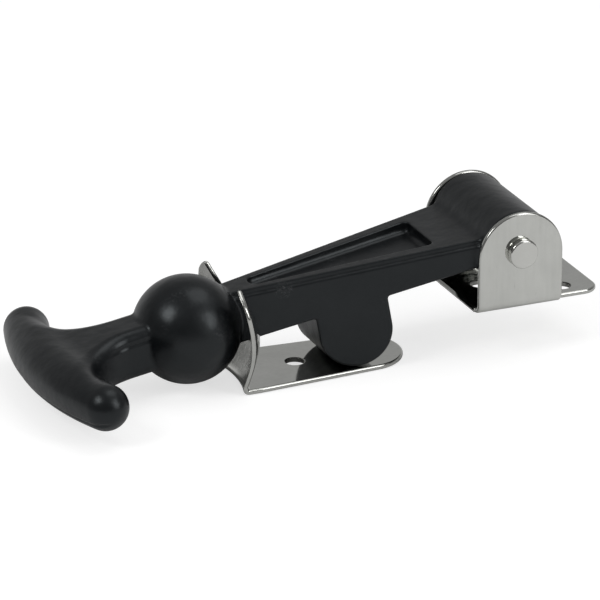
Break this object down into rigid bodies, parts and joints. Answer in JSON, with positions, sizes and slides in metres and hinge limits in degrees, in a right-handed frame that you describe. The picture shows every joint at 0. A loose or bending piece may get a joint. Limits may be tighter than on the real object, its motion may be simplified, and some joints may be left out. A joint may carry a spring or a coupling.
{
  "type": "rubber t draw latch",
  "caption": "Black rubber draw latch with a T-handle and a ball on a tapered strap, hinged on a folded stainless bracket, with a forked stainless keeper.",
  "frame": {"origin": "on the anchor bracket's mounting face, under the middle of its two ears", "axes": "+X from the T-handle towards the anchor's mounting tab, +Y across the latch along the pivot pin, +Z away from the mounting face"},
  "size_m": [0.1687, 0.0742, 0.0436],
  "materials": {
    "rubber": "satin moulded EPDM rubber, lightly scuffed",
    "stainless_sheet": "polished, tumbled stainless sheet",
    "stainless_pin": "bright turned stainless"
  },
  "bodies": {
    "brackets": {"anchor_bracket": "stainless_sheet", "pivot_pin": "stainless_pin", "keeper": "stainless_sheet"},
    "latch": {"rubber_latch": "rubber"}
  },
  "joints": [
    {"name": "strap_pivot", "type": "hinge", "parent": "brackets", "child": "latch", "pos_m": [0, 0, 0.0174], "axis": [0, 1, 0], "range_deg": [0, 150]}
  ]
}
